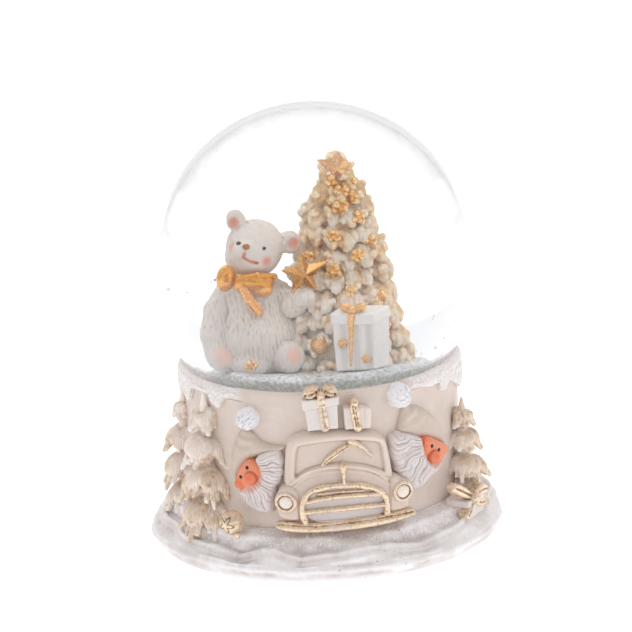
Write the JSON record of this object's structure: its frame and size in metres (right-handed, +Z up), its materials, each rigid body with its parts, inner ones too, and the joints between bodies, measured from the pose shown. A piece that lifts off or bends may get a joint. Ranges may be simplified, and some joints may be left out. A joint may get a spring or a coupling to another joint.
{
  "type": "snow globe",
  "caption": "Musical snow globe: a water-filled glass ball with a bear and fir inside, on a round resin base with a winter car relief and a wind-up key underneath.",
  "frame": {"origin": "on the ball's vertical axis, at the face the globe rests on", "axes": "+Z up along the ball's axis, -Y towards the front with the car"},
  "size_m": [0.11, 0.11, 0.1355],
  "materials": {
    "resin_drum": "matt cast resin, pinkish beige",
    "resin_car": "matt cast resin with a dry-brushed gold wash",
    "snow_paint": "matt white with fine glitter",
    "gold_paint": "antique gold paint",
    "gift_white": "satin white resin",
    "gnome_hat": "matt cream resin",
    "gnome_face": "matt coral resin",
    "gnome_white": "matt white grooved resin",
    "fir_base": "matt off-white resin, gold-brushed tips",
    "glass_clear": "clear polished",
    "liquid_clear": "clear water with a little glycol",
    "flakes": "white plastic flakes",
    "figure_white": "white cast resin",
    "figure_gold": "bright gold paint",
    "fir_cream": "cream resin with gold-brushed tips",
    "rubber": "soft moulded, white",
    "felt": "short pile, off-white",
    "cover_plastic": "fine-textured",
    "steel": "bright",
    "brass": "polished",
    "zinc": "as cast",
    "nylon": "moulded"
  },
  "bodies": {
    "base": {"bear_body": "figure_white", "bear_bow": "figure_gold", "bear_head": "figure_white", "bearing_brackets": "steel", "bottom_cover": "cover_plastic", "car_body": "resin_car", "car_bumper": "gold_paint", "comb_riser": "zinc", "drum_casting": "resin_drum", "felt_ring": "felt", "figure_baubles": "figure_gold", "figure_plinth": "figure_white", "fir_far_left": "fir_base", "fir_figure": "fir_cream", "fir_left": "fir_base", "fir_right": "fir_base", "firs_back": "fir_base", "gift_box": "figure_white", "gift_lid": "figure_white", "gift_ribbon": "figure_gold", "glass_globe": "glass_clear", "globe_liquid": "liquid_clear", "gnome_left_beard": "gnome_white", "gnome_left_face": "gnome_face", "gnome_left_hat": "gnome_hat", "gnome_left_pompom": "gnome_white", "gnome_right_beard": "gnome_white", "gnome_right_face": "gnome_face", "gnome_right_hat": "gnome_hat", "gnome_right_pompom": "gnome_white", "grille_bars": "gold_paint", "grille_surround": "gold_paint", "ground_bauble": "gold_paint", "ground_gift": "gift_white", "ground_gift_bow": "gold_paint", "headlamp_left": "gold_paint", "headlamp_right": "gold_paint", "held_star": "figure_gold", "hood_ornament": "gold_paint", "loose_flakes": "flakes", "mainspring": "steel", "movement_plate": "steel", "movement_screws": "steel", "music_comb": "steel", "rim_snow": "snow_paint", "roof_gift_large": "gift_white", "roof_gift_ribbons": "gold_paint", "roof_gift_small": "gift_white", "rubber_stopper": "rubber", "sealant_bead": "rubber", "settled_snow": "flakes", "snow_ground": "snow_paint", "spring_housing": "steel", "tree_star": "figure_gold", "windscreen_wipers": "gold_paint"},
    "winding_key_body": {"winding_key": "steel", "key_arbor": "steel", "crown_gear": "brass"},
    "cylinder_body": {"music_cylinder": "brass"},
    "governor_body": {"governor_fan": "nylon"}
  },
  "joints": [
    {"name": "key_turn", "type": "hinge", "parent": "base", "child": "winding_key_body", "pos_m": [0, 0, 0.0105], "axis": [0, 0, 1], "continuous": true},
    {"name": "cylinder_turn", "type": "hinge", "parent": "base", "child": "cylinder_body", "pos_m": [0, 0, 0.0294], "axis": [1, 0, 0], "continuous": true},
    {"name": "governor_turn", "type": "hinge", "parent": "base", "child": "governor_body", "pos_m": [-0.0137, 0.0086, 0.0294], "axis": [1, 0, 0], "continuous": true}
  ],
  "couplings": [
    {"joint": "cylinder_turn", "follows": "key_turn", "ratio": 3},
    {"joint": "governor_turn", "follows": "key_turn", "ratio": -9}
  ]
}
